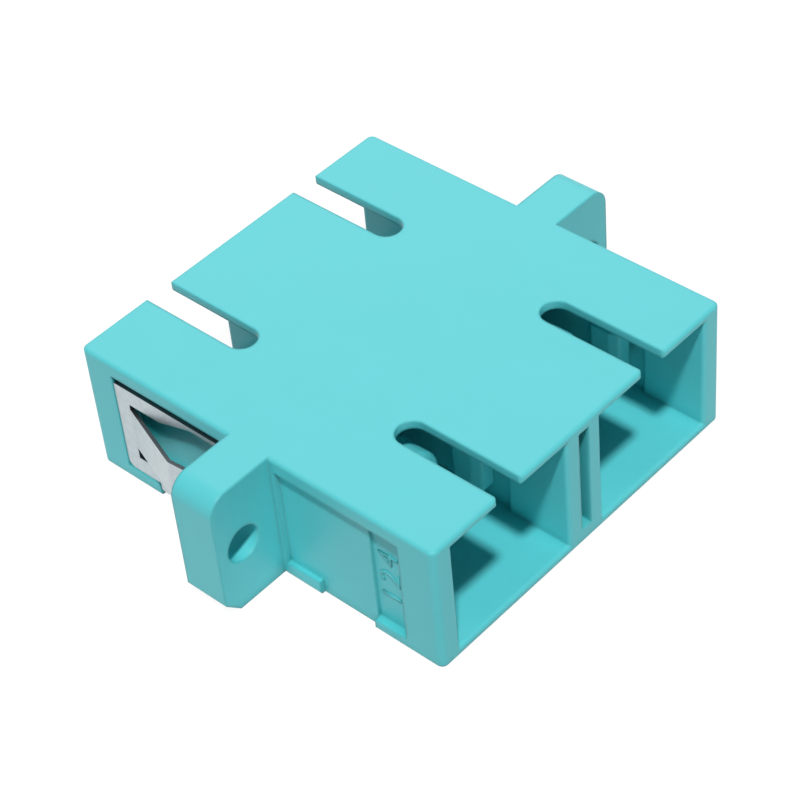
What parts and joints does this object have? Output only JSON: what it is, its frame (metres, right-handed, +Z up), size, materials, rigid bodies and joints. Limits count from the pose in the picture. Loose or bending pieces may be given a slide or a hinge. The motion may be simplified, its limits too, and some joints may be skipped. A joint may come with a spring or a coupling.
{
  "type": "sc duplex fibre adapter",
  "caption": "Flat coupler that joins push-pull fibre plugs end to end, with keyed ports, split alignment sleeves, screw ears and a folded spring clip for snap-in panel mounting.",
  "frame": {"origin": "middle of the underside, on the plane that the part rests on", "axes": "+X across the ports, +Y along the plugs' axes towards the rear mouths, where the clip is, +Z up"},
  "size_m": [0.0346, 0.0274, 0.0092],
  "materials": {
    "housing_plastic": "fine satin moulding, aqua",
    "latch_plastic": "satin moulding, aqua",
    "spring_steel": "rolled stainless sheet",
    "bronze": "drawn phosphor bronze"
  },
  "bodies": {
    "root": {"housing": "housing_plastic", "panel_clip": "spring_steel", "left_front_latch": "latch_plastic", "left_rear_latch": "latch_plastic", "left_sleeve": "bronze", "right_front_latch": "latch_plastic", "right_rear_latch": "latch_plastic", "right_sleeve": "bronze"}
  },
  "joints": []
}
